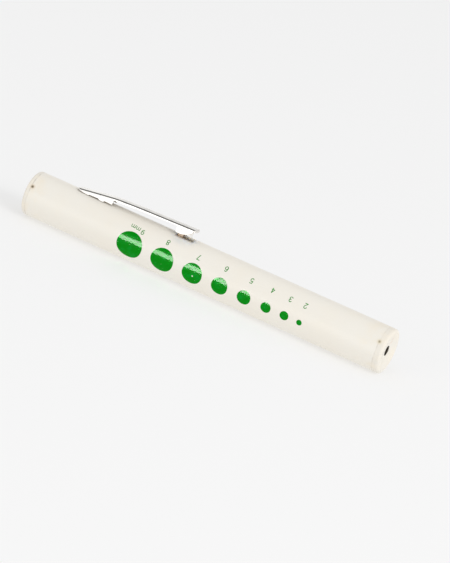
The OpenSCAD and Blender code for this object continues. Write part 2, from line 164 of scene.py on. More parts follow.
class PenlightClip(PropertyGroup):
    """Pocket clip and its hinge."""
    sheet: length("Sheet", 0.35, "Thickness of the clip's sheet")
    bend: length("Bend radius", 0.5, "Outer radius of the fold between back and flange")
    nickel: colour("Nickel", (0.95, 0.93, 0.89), "Colour of the plated sheet")
    nickel_dull: colour("Dull nickel", (0.80, 0.78, 0.74), "Colour of the worn plating")
    # Dark edge of the clip: tarnish of the cut edges together with painted shade in the gaps under them
    bare: colour("Bare edge", (0.28, 0.225, 0.17), "Colour of the sheet's cut edge")


class PenlightInside(PropertyGroup):
    """Contacts, spring, bulb and cells."""
    brass: colour("Brass", (0.80, 0.58, 0.27), "Colour of the brass pieces")
    steel: colour("Steel", (0.62, 0.62, 0.63), "Colour of the steel pieces")
    sleeve: colour("Cell sleeve", linear(58, 64, 70), "Colour of the cells' sleeves")
    sleeve_band: colour("Cell band", linear(186, 120, 58), "Colour of the band on the cells' sleeves")
    fibre: colour("Fibre", linear(128, 84, 52), "Colour of the fibre washer")


class PenlightStage(PropertyGroup):
    """Floor, lamps and world."""
    backdrop: factor("Backdrop", 0.99, "Brightness of the floor and the backdrop")
    floor_shadow: factor("Floor shadow", 0.66, "Share of the floor that shows shadow")
    floor_glow: factor("Floor glow", 0.80, "Share of the floor that lights the object evenly")
    key_power: power("Key power", 1.4, "front softbox")
    glint_power: power("Glint power", 0.50, "far strip lamp that only gloss shows")
    glare_power: power("Glare power", 0.80, "near strip lamp that only the print shows")
    sheen_power: power("Sheen power", 0.015, "near strip lamp that only the plastic shows")
    side_power: power("Side power", 10.0, "side softbox")
    fill: factor("Fill", 0.72, "Strength of the even light from all round", 10.0)


SETTINGS = {
    "penlight_shell": PenlightShell,
    "penlight_gauge": PenlightGauge,
    "penlight_clip": PenlightClip,
    "penlight_inside": PenlightInside,
    "penlight_stage": PenlightStage,
}


# Lines and surfaces as arrays

def points_at(*coordinates):
    """Points from their coordinates, which are first brought to one shape."""
    return np.stack(np.broadcast_arrays(*coordinates), axis=-1)


def full_turn(count):
    """Even angles round a full turn."""
    return np.linspace(0, 2 * math.pi, count, endpoint=False)


def directions(line):
    """Unit vectors along a line of points, from the differences of its neighbours."""
    step = np.gradient(line, axis=0)
    return step / np.linalg.norm(step, axis=1, keepdims=True)


def resampled(line, count, keep=False):
    """Points at even steps of length along a flat line; keep holds on to the line's own points too."""
    run = np.append(0, np.cumsum(np.linalg.norm(np.diff(line, axis=0), axis=1)))
    s = np.linspace(0, run[-1], count)
    if keep:
        s = np.unique(np.concatenate([run, s]))
    return points_at(np.interp(s, run, line[:, 0]), np.interp(s, run, line[:, 1]))


def held_ends(rows, count):
    """Rows with the first and the last of them repeated."""
    return np.pad(rows, ((count, count), (0, 0)), mode="edge")


def arc(centre, radius, start, end, count=10):
    """Points of an arc in a plane, by angle in degrees; radius may be a pair for an ellipse."""
    angle = np.radians(np.linspace(start, end, count))
    radii = np.broadcast_to(radius, 2)
    return points_at(centre[0] + radii[0] * np.cos(angle), centre[1] + radii[1] * np.sin(angle))


def rounded(corners, radii, count=8):
    """Polyline through the corners with each corner rounded: the arc touches both of its legs."""
    corners = np.asarray(corners, float)
    pieces = [corners[:1]]
    for before, corner, after, radius in zip(corners, corners[1:], corners[2:], radii):
        if radius <= 0:
            pieces.append(corner[None])
            continue
        back = (before - corner) / np.linalg.norm(before - corner)
        ahead = (after - corner) / np.linalg.norm(after - corner)
        half = math.acos(np.clip(back @ ahead, -1, 1)) / 2
        middle = (back + ahead) / np.linalg.norm(back + ahead)
        centre = corner + middle * radius / math.sin(half)
        t = np.linspace(-1, 1, count)[:, None] * (math.pi / 2 - half)
        side = ahead - middle * (ahead @ middle)
        side = side / np.linalg.norm(side)
        pieces.append(centre + radius * (np.sin(t) * side - np.cos(t) * middle))
    pieces.append(corners[-1:])
    return np.concatenate(pieces)


def round_about(x, r, angle):
    """Points at a distance x, a radius r and an angle from the top about the barrel's axis."""
    return points_at(x, r * np.sin(angle), AXIS_Z + r * np.cos(angle))


def on_skin(x, angle, height=0.0):
    """Points on the tube, by angle above -Y towards +Z and height above the skin."""
    r = SKIN_R + height
    return points_at(x, -r * np.cos(angle), AXIS_Z + r * np.sin(angle))


def grid_quads(rows, columns, closed):
    """Quads between neighbours in a grid of points; closed joins the last column to the first."""
    last = columns if closed else columns - 1
    i, j = np.meshgrid(np.arange(rows - 1), np.arange(last), indexing="ij")
    k = (j + 1) % columns
    return np.stack([i * columns + j, i * columns + k,
                     (i + 1) * columns + k, (i + 1) * columns + j], axis=-1)


def woven(grid, closed=True):
    """Surface of points and quads from a grid of points in rows and columns."""
    return grid.reshape(-1, 3), grid_quads(*grid.shape[:2], closed).reshape(-1, 4)


def joined(*surfaces):
    """Several surfaces of points and quads as one."""
    starts = np.cumsum([0] + [len(points) for points, _ in surfaces[:-1]])
    return (np.concatenate([points for points, _ in surfaces]),
            np.concatenate([quads + start for (_, quads), start in zip(surfaces, starts)]))


def turned(profile):
    """Profile of (x, r) turned about the barrel's axis, with its last point joined to its first."""
    profile = np.concatenate([profile, profile[:1]])
    return woven(round_about(profile[:, :1], profile[:, 1:], full_turn(ROUND_STEPS)))


def slotted_shell(outer, inner, first, last, half_width, cells=8):
    """Wall between an outer and an inner profile of (x, r) turned about the axis, with a slot on top.

    The slot takes rows first to last of both profiles, whose x agree there. Its sides are the
    planes y = +-half_width, so its edge angle on each row is asin(half_width / r). The other
    angles share what is left of the turn.
    """
    rows = len(outer)
    open_end = last == rows - 1

    def sheet(profile):
        r = profile[:, 1:]
        edge = np.arcsin(half_width / np.maximum(r, profile[first:last + 1, 1].min()))
        across = edge * np.linspace(-1, 1, cells + 1)
        round_back = edge + (2 * math.pi - 2 * edge) * np.linspace(0, 1, ROUND_STEPS - cells + 1)[1:-1]
        return round_about(profile[:, :1], r, np.concatenate([across, round_back], axis=1))

    points = np.concatenate([sheet(outer).reshape(-1, 3), sheet(inner).reshape(-1, 3)])
    number = np.arange(len(points)).reshape(2, rows, ROUND_STEPS)
    keep = np.ones((rows - 1, ROUND_STEPS), bool)
    keep[first:last, :cells] = False
    quads = grid_quads(rows, ROUND_STEPS, closed=True)
    faces = [quads[keep], quads[keep] + rows * ROUND_STEPS]

    def bridge(line_out, line_in):
        faces.append(np.stack([line_out[:-1], line_out[1:], line_in[1:], line_in[:-1]], axis=-1))

    ring = np.arange(ROUND_STEPS + 1) % ROUND_STEPS
    if outer[0, 1] > 0:
        bridge(number[0, 0, ring], number[1, 0, ring])
    bridge(*number[:, rows - 1, ring[cells:] if open_end else ring])
    for edge in (0, cells):
        bridge(*number[:, first:last + 1, edge])
    for row in (first,) if open_end else (first, last):
        bridge(*number[:, row, :cells + 1])
    return points, np.concatenate(faces)


def swept(path, outward, radius, sides=16):
    """Round wire along a path: each ring stands square to the path, with its start along outward."""
    along = directions(path)
    side = np.cross(along, outward)
    side /= np.linalg.norm(side, axis=1, keepdims=True)
    up = np.cross(side, along)
    angle = full_turn(sides)[:, None]
    rings = path[:, None] + radius * (np.cos(angle) * up[:, None] + np.sin(angle) * side[:, None])
    caps = [np.repeat(path[end][None, None], sides, axis=1) for end in (0, -1)]
    return woven(np.concatenate([caps[0], rings, caps[1]]))


# Objects

def finished_with(name):
    """Collection of the pieces that have a finish, for a lamp that is limited to them."""
    return bpy.data.collections.get(name) or bpy.data.collections.new(name)


def piece(name, surface, material, body, nodes=(), paint=None, flex=None):
    """Smooth object at the origin from points and quads, riding on a body, in place of CAD nodes.

    Paint is a value for each point, which a material reads as the attribute of that name.
    Flex is a second body and two points: when it is given, the piece keeps its place in the world and rides
    on no body; its body and points are not used.
    """
    points, quads = surface
    mesh = bpy.data.meshes.new(name)
    mesh.from_pydata(points.tolist(), [], quads.tolist())
    if paint is not None:
        mesh.attributes.new("paint", "FLOAT", "POINT").data.foreach_set("value", paint)
    work = bmesh.new()
    work.from_mesh(mesh)
    bmesh.ops.remove_doubles(work, verts=work.verts, dist=WELD)
    bmesh.ops.dissolve_degenerate(work, edges=work.edges, dist=WELD)
    bmesh.ops.recalc_face_normals(work, faces=work.faces)
    work.to_mesh(mesh)
    work.free()
    mesh.shade_smooth()
    mesh.set_sharp_from_angle(angle=SMOOTH_ANGLE)
    mesh.materials.append(material)
    obj = bpy.data.objects.new(name, mesh)
    bpy.context.scene.collection.objects.link(obj)
    finished_with(material.name).objects.link(obj)
    if flex:
        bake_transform(obj)
    else:
        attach(obj, body)
    if nodes:
        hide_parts(*nodes)


def finish_node(name, material):
    """Gives a CAD node that stays in view its material."""
    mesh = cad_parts[name].data
    mesh.materials.clear()
    mesh.materials.append(material)


class Graph:
    """Short hand for the nodes of a material or a world."""

    def __init__(self, owner):
        owner.use_nodes = True
        self.tree = owner.node_tree
        self.tree.nodes.clear()

    def node(self, kind, **values):
        """New node with its properties set by name."""
        made = self.tree.nodes.new(kind)
        for key, value in values.items():
            setattr(made, key, value)
        return made

    def feed(self, target, value):
        """Links a socket or sets a constant; a constant colour gets its alpha here."""
        if isinstance(value, NodeSocket):
            self.tree.links.new(value, target)
        elif target.type == "RGBA":
            target.default_value = (*value, 1.0)
        else:
            target.default_value = value

    def fill(self, node, **sockets):
        """Sets or links a node's inputs; spaces in their names are written as underscores."""
        for key, value in sockets.items():
            self.feed(node.inputs[key.replace("_", " ")], value)
        return node

    def fed(self, kind, inputs, **values):
        """First output of a new node whose inputs are fed in their order."""
        made = self.node(kind, **values)
        for target, value in zip(made.inputs, inputs):
            self.feed(target, value)
        return made.outputs[0]

    def math(self, operation, *values):
        """Outcome of an operation on one or two values."""
        return self.fed("ShaderNodeMath", values, operation=operation)

    def times(self, first, *others):
        """Product of values."""
        for other in others:
            first = self.math("MULTIPLY", first, other)
        return first

    def between(self, value, low, high, to_low=0.0, to_high=1.0, kind="SMOOTHSTEP"):
        """Step of a value from low to high, smooth unless its kind is LINEAR."""
        return self.fed("ShaderNodeMapRange", (value, low, high, to_low, to_high), interpolation_type=kind)

    def axes(self, place):
        """The three coordinates of a place."""
        return self.fill(self.node("ShaderNodeSeparateXYZ"), Vector=place).outputs

    def seen(self):
        """1 for rays of the camera, of gloss and of glass, and 0 for rays that light the object."""
        path = self.node("ShaderNodeLightPath").outputs
        shown = self.math("MAXIMUM", path["Is Camera Ray"], path["Is Glossy Ray"])
        return self.math("MAXIMUM", shown, path["Is Transmission Ray"])

    def end(self, kind, surface):
        """Output node that shows a surface."""
        self.fill(self.node(kind), Surface=surface)


class Finish(Graph):
    """Short hand for the material of a piece, with its patterns on Object coordinates."""

    def __init__(self, name):
        self.material = bpy.data.materials.get(name) or bpy.data.materials.new(name)
        super().__init__(self.material)
        self.shader = self.node("ShaderNodeBsdfPrincipled")
        self.end("ShaderNodeOutputMaterial", self.shader.outputs["BSDF"])
        self.place = self.node("ShaderNodeTexCoord").outputs["Object"]

    def mix(self, share, a, b):
        """Mix of two colours."""
        made = self.node("ShaderNodeMix", data_type="RGBA")
        self.feed(made.inputs["Factor"], share)
        for key, value in (("A", a), ("B", b)):
            self.feed(next(s for s in made.inputs if s.name == key and s.type == "RGBA"), value)
        return next(s for s in made.outputs if s.type == "RGBA")

    def noise(self, scale, detail=2.0, roughness=0.5, stretch=None):
        """Noise of a scale per metre; stretch is a factor of the scale for each axis."""
        place = self.place
        if stretch:
            place = self.fill(self.node("ShaderNodeMapping"), Vector=place, Scale=stretch).outputs[0]
        made = self.node("ShaderNodeTexNoise")
        self.fill(made, Vector=place, Scale=scale, Detail=detail, Roughness=roughness)
        return made.outputs["Fac"]

    def near(self, point, reach, soft):
        """1 within reach of a point, falling to 0 over soft."""
        made = self.node("ShaderNodeVectorMath", operation="DISTANCE")
        self.feed(made.inputs[0], self.place)
        self.feed(made.inputs[1], point)
        return self.between(made.outputs["Value"], reach, reach + soft, 1.0, 0.0)

    def bump(self, height, distance):
        """Relief of a height map, as deep as the distance."""
        made = self.fill(self.node("ShaderNodeBump"), Height=height, Distance=distance, Strength=1.0)
        self.fill(self.shader, Normal=made.outputs["Normal"])

    def set(self, **sockets):
        """Material whose shader has its inputs set or linked."""
        self.fill(self.shader, **sockets)
        return self.material


# Finishes

# Marks of age on the plastic: place along X, angle above -Y in degrees, reach, softness, colour
SPOTS = (
    (-62.84 * MM, 33.0, 0.12 * MM, 1.20 * MM, linear(222, 206, 184)),
    (-62.84 * MM, 33.0, 0.10 * MM, 0.62 * MM, linear(116, 105, 85)),
    (62.55 * MM, 33.3, 0.10 * MM, 1.20 * MM, linear(226, 216, 194)),
    (62.55 * MM, 33.3, 0.06 * MM, 0.58 * MM, linear(164, 154, 128)),
)
# Smears on the nose's end: place, reach, softness, colour; and their strength
SMEARS = (
    ((63.95 * MM, 0.57 * MM, 13.13 * MM), 0.1 * MM, 1.0 * MM, linear(228, 208, 192)),
    ((63.95 * MM, 0.96 * MM, 11.65 * MM), 0.1 * MM, 1.0 * MM, linear(226, 206, 190)),
    ((63.95 * MM, 1.35 * MM, 10.17 * MM), 0.1 * MM, 0.9 * MM, linear(230, 212, 198)),
)
SMEAR_SHARE = 0.8
# Reach of the warm stains from a seam; edge, end and strength of the dirt line there; the plugs' own tone
STAIN_REACH = 9 * MM
SEAM_LINE = (0.06 * MM, 0.30 * MM)
SEAM_DIRT = (1.0, 0.5)
PLUG_SHARE = 0.85
# Painted shade beside the slot, a line in the dirt colour that also darkens the slot's near wall: distance
# from it, edge and end across, softness of its ends, depth, strength
RUST_AWAY = 0.25 * MM
RUST_LINE = (0.15 * MM, 0.45 * MM)
RUST_FADE = 0.4 * MM
RUST_DEPTH = 0.6 * MM
RUST_SHARE = 0.40
# Light that passes through the plastic round the slot: reach, softness and depth
GLOW_REACH, GLOW_SOFT, GLOW_DEPTH = 3.4 * MM, 2.6 * MM, 2.4 * MM
# Pinhole in the print of the dot 7: place along X, angle above -Y in degrees, reach and softness
FLAW_X, FLAW_ANGLE, FLAW_REACH, FLAW_SOFT = -1.77 * MM, -8.4, 0.18 * MM, 0.12 * MM
# Copper band of a cell: its width and the softness of its edges
BAND_WIDTH, BAND_EDGE = 9 * MM, 0.05 * MM
# Even grain, in place of the brushing along X that a metal has by default
NO_BRUSH = (1.0, 1.0, 1.0)


def ivory_plastic(shell):
    """Moulded ivory: clouded tone, warm stains near the ends, dirt in the seams, painted shade beside the
    slot, fine scratches.
    """
    g = Finish("ivory_plastic")
    x, y, z = g.axes(g.place)
    tail, nose = BARREL_LO.x, BARREL_HI.x

    def at_seams(low, high, levels):
        lines = [g.between(g.math("ABSOLUTE", g.math("SUBTRACT", x, seam)), low, high, level, 0.0)
                 for seam, level in zip((tail, nose), levels)]
        return g.math("MAXIMUM", *lines)

    clouds = g.noise(70.0, detail=4.0, roughness=0.6)
    tone = g.mix(g.between(clouds, 0.35, 0.7, 0.0, 0.35), shell.ivory, shell.ivory_warm)
    plugs = g.math("MAXIMUM", g.math("GREATER_THAN", x, nose), g.math("LESS_THAN", x, tail))
    tone = g.mix(g.times(plugs, PLUG_SHARE), tone, shell.ivory_plug)
    patches = g.between(g.noise(240.0, detail=3.0, roughness=0.6), 0.40, 0.70)
    tone = g.mix(g.times(at_seams(0.0, STAIN_REACH, (1.0, 1.0)), patches), tone, shell.ivory_warm)
    specks = g.between(g.noise(420.0, detail=3.0, roughness=0.6), 0.36, 0.74, 0.04, 0.32)
    tone = g.mix(g.times(at_seams(*SEAM_LINE, SEAM_DIRT), specks), tone, shell.dirt)
    slot_start = tail + shell.slot_from_tail
    slot_stop = slot_start + shell.slot_length
    # Painted shade along the slot's near edge and down its near wall, in the dirt colour
    beside = g.math("ABSOLUTE", g.math("ADD", y, shell.slot_width / 2 + RUST_AWAY))
    rust = g.times(g.between(beside, *RUST_LINE, 1.0, 0.0),
                   g.between(x, slot_start - RUST_FADE, slot_start),
                   g.between(x, slot_stop, slot_stop + RUST_FADE, 1.0, 0.0),
                   g.between(z, AXIS_Z, TOP_Z - RUST_DEPTH, 0.0, RUST_SHARE))
    tone = g.mix(rust, tone, shell.dirt)
    for spot_x, angle, reach, soft, tint in SPOTS:
        tone = g.mix(g.near(on_skin(spot_x, math.radians(angle)).tolist(), reach, soft), tone, tint)
    for point, reach, soft, tint in SMEARS:
        tone = g.mix(g.times(g.near(point, reach, soft), SMEAR_SHARE), tone, tint)
    scratches = g.noise(900.0, stretch=(0.12, 1.0, 1.0))
    g.bump(g.math("ADD", scratches, g.times(g.noise(5200.0), 0.5)), 0.006 * MM)
    glow = g.near(((slot_start + slot_stop) / 2, 0.0, TOP_Z), GLOW_REACH, GLOW_SOFT)
    return g.set(Base_Color=tone, Roughness=g.between(scratches, 0.3, 0.75, 0.30, 0.40),
                 Specular_IOR_Level=0.2, IOR=1.49, Subsurface_Weight=glow,
                 Subsurface_Radius=(1.0, 0.9, 0.75), Subsurface_Scale=GLOW_DEPTH)


def green_ink(gauge, shell):
    """Screen-printed ink: glossy film with thin places and pinholes."""
    g = Finish("green_ink")
    thin = g.between(g.noise(520.0, detail=3.0, roughness=0.6), 0.45, 0.75)
    tone = g.mix(thin, gauge.ink, gauge.ink_thin)
    tone = g.mix(g.between(g.noise(2600.0, detail=1.0), 0.76, 0.80), tone, shell.ivory)
    flaw = on_skin(FLAW_X, math.radians(FLAW_ANGLE)).tolist()
    tone = g.mix(g.near(flaw, FLAW_REACH, FLAW_SOFT), tone, shell.ivory)
    g.bump(g.noise(1500.0), 0.0015 * MM)
    return g.set(Base_Color=tone, Roughness=0.13, Specular_IOR_Level=0.06, IOR=1.5)


def metal(name, bright, dull, roughness, brush=(0.1, 1.0, 1.0), bare=None):
    """Plated or rolled metal: brushed along its length, with dull worn patches, and dark edges where given,
    painted as tarnish and as shade.
    """
    g = Finish(name)
    wear = g.between(g.noise(420.0, detail=4.0, roughness=0.65), 0.42, 0.78)
    lines = g.noise(2600.0, roughness=0.6, stretch=brush)
    tone = g.mix(g.times(wear, 0.6), bright, dull)
    if bare is not None:
        # Dark edge from the paint attribute: tarnish together with painted shade
        tone = g.mix(g.node("ShaderNodeAttribute", attribute_name="paint").outputs["Fac"], tone, bare)
    g.bump(lines, 0.002 * MM)
    rough = g.math("ADD", g.between(lines, 0.3, 0.7, roughness * 0.8, roughness * 1.25), g.times(wear, 0.08))
    return g.set(Base_Color=tone, Roughness=rough, Metallic=1.0)


def dull_solid(name, base, speck, roughness):
    """Fibre, rubber or pressed powder: mottled and matt."""
    g = Finish(name)
    spots = g.noise(900.0, detail=5.0, roughness=0.7)
    g.bump(spots, 0.03 * MM)
    return g.set(Base_Color=g.mix(g.between(spots, 0.35, 0.7), base, speck), Roughness=roughness)


def bulb_glass():
    """Clear glass with faint seeds in it."""
    g = Finish("bulb_glass")
    g.bump(g.noise(900.0, detail=1.0), 0.004 * MM)
    tint = g.mix(g.between(g.noise(300.0), 0.4, 0.8), (0.97, 0.99, 0.985), (0.93, 0.97, 0.96))
    return g.set(Base_Color=tint, Roughness=0.03, IOR=1.52, Transmission_Weight=1.0)


def cell_sleeve(inside, tops):
    """Shrink sleeve of the cells: dark with a plain copper band near each of the two terminal ends."""
    g = Finish("cell_sleeve")
    x = g.axes(g.place)["X"]
    bands = [g.times(g.between(x, top - BAND_WIDTH, top - BAND_WIDTH + BAND_EDGE),
                     g.between(x, top, top + BAND_EDGE, 1.0, 0.0)) for top in tops]
    scuffs = g.noise(700.0, detail=3.0, roughness=0.6, stretch=(0.2, 1.0, 1.0))
    tone = g.mix(g.math("MAXIMUM", *bands), inside.sleeve, inside.sleeve_band)
    tone = g.mix(g.between(scuffs, 0.6, 0.8, 0.0, 0.25), tone, (0.5, 0.5, 0.5))
    g.bump(scuffs, 0.004 * MM)
    return g.set(Base_Color=tone, Roughness=g.between(scuffs, 0.3, 0.7, 0.22, 0.4))


# Makers of pieces

class PENLIGHT_OT_tube(Operator):
    """Makes the tube with its switch slot, and the ribs in its bore."""
    bl_idname = "penlight.tube"
    bl_label = "Tube"

    # Rings of points behind the slot, along it and ahead of it
    rings = (24, 7, 32)
    rib_angles = (45, 135, 225, 315)
    rib_gap = 1.0 * MM

    def execute(self, context):
        shell = context.scene.penlight_shell
        finish = ivory_plastic(shell)
        tail, nose = BARREL_LO.x, BARREL_HI.x
        chamfer = shell.seam_chamfer
        slot_start = tail + shell.slot_from_tail
        slot_x = (slot_start, slot_start + shell.slot_length)
        behind, beside, ahead = self.rings
        along = np.concatenate([
            [tail], np.linspace(tail + chamfer, slot_x[0], behind), np.linspace(*slot_x, beside)[1:-1],
            np.linspace(slot_x[1], nose - chamfer, ahead), [nose]])
        outer_r = np.full(len(along), SKIN_R)
        outer_r[[0, -1]] -= chamfer
        first, last = np.searchsorted(along, slot_x)
        surface = slotted_shell(points_at(along, outer_r), points_at(along, BARREL_R - shell.wall),
                                first, last, shell.slot_width / 2)
        piece("barrel_tube", surface, finish, "barrel", ["barrel"])
        piece("barrel_ribs", self.ribs(shell), finish, "barrel")
        return {"FINISHED"}

    def ribs(self, shell):
        """Four bars in the bore: a rounded section carried along X, at 45 degrees and its quarter turns."""
        bore = BARREL_R - shell.wall
        low, high = bore - shell.rib_height, bore + shell.wall / 2
        half = shell.rib_width / 2
        section = rounded([(-half, high), (-half, low), (half, low), (half, high)], (half / 3, half / 3))
        run = np.array([TAIL_HI.x + self.rib_gap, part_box("insulating_washer")[0].x - self.rib_gap])
        turns = np.radians(self.rib_angles)[:, None, None]
        across, up = section.T[:, None, None]
        y = across * np.cos(turns) + up * np.sin(turns)
        z = AXIS_Z + up * np.cos(turns) - across * np.sin(turns)
        bars = points_at(run[None, :, None], y, z)
        caps = np.repeat(bars.mean(2, keepdims=True), len(section), axis=2)
        return joined(*map(woven, np.concatenate([caps[:, :1], bars, caps[:, 1:]], axis=1)))


class PENLIGHT_OT_plugs(Operator):
    """Makes the nose plug with its dished face and light hole, and the tail plug."""
    bl_idname = "penlight.plugs"
    bl_label = "Plugs"

    # Rounding of the nose's spigot, rim, dish and hole, and the depth and flare of the hole's edge
    spigot_round, rim_round, dish_round, hole_round = 0.3 * MM, 2.4 * MM, 2.8 * MM, 0.04 * MM
    hole_edge, hole_flare = 0.1 * MM, 0.6 * MM
    groove_rings = 10

    def execute(self, context):
        shell = context.scene.penlight_shell
        finish = bpy.data.materials["ivory_plastic"]
        spigot = BARREL_R - shell.wall - shell.fit_gap
        bore = spigot - shell.spigot_wall
        nose = turned(self.nose(shell, spigot, bore))
        piece("nose_cap", nose, finish, "barrel", ["nose_plug"])
        piece("tail_cap", self.tail(shell, spigot, bore), finish, "tail_end", ["tail_plug"])
        return {"FINISHED"}

    def nose(self, shell, spigot, bore):
        """Closed profile: spigot, seam, rounded lip, rim, dish, light hole and bore."""
        start, seam, end = NOSE_LO.x, BARREL_HI.x, NOSE_HI.x
        brim = BARREL_R - shell.nose_rim
        floor = end - shell.nose_dish
        back = floor - shell.nose_face
        hole = shell.light_hole / 2
        chamfer = shell.seam_chamfer
        corners = [(start, bore), (start, spigot), (seam, spigot), (seam, SKIN_R - chamfer),
                   (seam + chamfer, SKIN_R), (end, SKIN_R), (end, brim), (floor, hole + shell.nose_flat),
                   (floor, hole), (floor - self.hole_edge, hole), (back, hole + self.hole_flare),
                   (back, bore), (start, bore)]
        radii = (self.spigot_round, 0, 0, 0, shell.nose_edge, self.rim_round, self.dish_round,
                 self.hole_round, 0, 0, 0)
        return rounded(corners, radii)

    def tail(self, shell, spigot, bore):
        """Outer skin from the end's middle to the spigot's end, and the bore, with the strip groove."""
        seam, end = BARREL_LO.x, TAIL_LO.x
        floor = end + shell.tail_wall
        chamfer = shell.seam_chamfer
        groove = np.linspace(floor, TAIL_HI.x, self.groove_rings)[1:]
        corners = [(end, 0), (end, SKIN_R), (seam - chamfer, SKIN_R), (seam, SKIN_R - chamfer),
                   (seam, spigot), (floor, spigot)]
        head = rounded(corners, (shell.tail_edge, 0, 0, 0), count=12)
        cup = points_at(floor, np.linspace(0, bore, len(head)))
        outer = np.concatenate([head, points_at(groove, spigot)])
        inner = np.concatenate([cup, points_at(groove, bore)])
        return slotted_shell(outer, inner, len(head) - 1, len(outer) - 1, shell.groove_width / 2)


class PENLIGHT_OT_gauge(Operator):
    """Prints the eight gauge dots and their numbers on the tube."""
    bl_idname = "penlight.gauge"
    bl_label = "Gauge print"

    # Dot number, printed diameter and place along X in millimetres, angle above -Y in degrees
    dots = ((9, 9.0, -25.04, -2.0), (8, 8.0, -13.08, -3.3), (7, 7.0, -2.16, -3.5), (6, 5.65, 7.75, -4.0),
            (5, 4.70, 16.57, -4.8), (4, 3.50, 24.44, -5.2), (3, 3.0, 31.00, -4.7), (2, 1.85, 36.33, -5.2))
    # Character, place along X in millimetres, angle above -Y in degrees, share of the full height
    numbers = (("8", -13.5, 44.0, 1.0), ("7", -2.1, 41.4, 1.0), ("6", 7.7, 42.9, 1.0),
               ("5", 16.9, 41.7, 1.0), ("4", 24.5, 41.0, 1.0), ("3", 30.95, 39.4, 1.0),
               ("2", 36.25, 39.1, 1.0), ("9", -22.55, 41.4, 0.92), ("m", -24.5, 45.8, 0.62),
               ("m", -26.3, 47.3, 0.62))
    number_aspect = 0.64
    letter_aspect = 1.25
    least_stroke = 0.8
    # Rings and spokes of a dot's grid, steps along a pen path and points across it
    dot_rings, dot_spokes = 14, 72
    pen_steps, pen_points = 40, 4

    def execute(self, context):
        gauge = context.scene.penlight_gauge
        finish = green_ink(gauge, context.scene.penlight_shell)
        for number, size, x, angle in self.dots:
            dot = self.dot(gauge, size * MM / 2, x * MM, math.radians(angle))
            piece(f"gauge_dot_{number}mm", dot, finish, "barrel")
        for k, (glyph, x, angle, share) in enumerate(self.numbers):
            number = self.number(gauge, glyph, x * MM, math.radians(angle), share)
            piece(f"gauge_number_{k}_{glyph}", number, finish, "barrel")
        return {"FINISHED"}

    def dot(self, gauge, radius, x, angle):
        """Closed film: polar grids above and below the skin, x + r cos a along it and r sin a round it."""
        r = np.linspace(0, radius, self.dot_rings)
        r = np.concatenate([r, r[::-1]])[:, None]
        height = np.repeat((gauge.film, -gauge.film), self.dot_rings)[:, None]
        a = full_turn(self.dot_spokes)
        return woven(on_skin(x + r * np.cos(a), angle + r * np.sin(a) / SKIN_R, height))

    def strokes(self, glyph):
        """Pen paths of a plain number or letter in a box of 1 by 1."""
        def path(*parts):
            return np.concatenate([np.atleast_2d(part) for part in parts])
        six = [path(arc((0.5, 0.5), (0.45, 0.5), 55, 180, 16), (0.05, 0.31)),
               arc((0.5, 0.31), (0.45, 0.31), 180, 540, 40)]
        return {
            "2": [path(arc((0.5, 0.70), (0.42, 0.30), 165, -38, 24), (0.05, 0.0), (0.95, 0.0))],
            "3": [arc((0.46, 0.75), (0.40, 0.25), 150, -95, 24),
                  arc((0.46, 0.26), (0.45, 0.26), 95, -150, 24)],
            "4": [path((0.70, 0.0), (0.70, 1.0), (0.04, 0.28), (0.98, 0.28))],
            "5": [path((0.88, 1.0), (0.20, 1.0), (0.12, 0.50),
                       arc((0.46, 0.32), (0.45, 0.32), 125, -150, 28))],
            "6": six,
            "7": [path((0.05, 1.0), (0.95, 1.0), (0.35, 0.0))],
            "8": [arc((0.5, 0.76), (0.36, 0.24), -90, 270, 36), arc((0.5, 0.27), (0.45, 0.27), 90, 450, 40)],
            "9": [1 - line for line in six],
            "m": [path((0.0, 0.0), (0.0, 1.0)),
                  path((0.0, 0.55), arc((0.25, 0.62), (0.25, 0.38), 180, 0, 14), (0.5, 0.0)),
                  path((0.5, 0.54), arc((0.75, 0.617), (0.25, 0.383), 180, 0, 14), (1.0, 0.0))],
        }[glyph]

    def number(self, gauge, glyph, x, angle, share):
        """Closed film of the stroke's width along each pen path, laid on the tube, top towards the dots."""
        tall = gauge.number_height * share
        wide = tall * (self.letter_aspect if glyph == "m" else self.number_aspect)
        half = gauge.stroke * max(share, self.least_stroke) / 2
        across = np.linspace(-half, half, self.pen_points)
        across = np.concatenate([across, across[::-1]])
        height = np.repeat((gauge.film, -gauge.film), self.pen_points)
        ribbons = []
        for line in self.strokes(glyph):
            line = resampled((line - 0.5) * (wide - 2 * half, tall - 2 * half), self.pen_steps, keep=True)
            along = held_ends(directions(line), 2)
            first, last = line[:1] - half * along[:1], line[-1:] + half * along[-1:]
            line = np.concatenate([first, first, line, last, last])
            square = points_at(-along[:, 1], along[:, 0])
            open_row = np.ones((len(line), 1))
            open_row[[0, -1]] = 0
            flat = line[:, None] + (open_row * across)[..., None] * square[:, None]
            film = on_skin(x - flat[..., 0], angle - flat[..., 1] / SKIN_R, open_row * height)
            ribbons.append(woven(film))
        return joined(*ribbons)


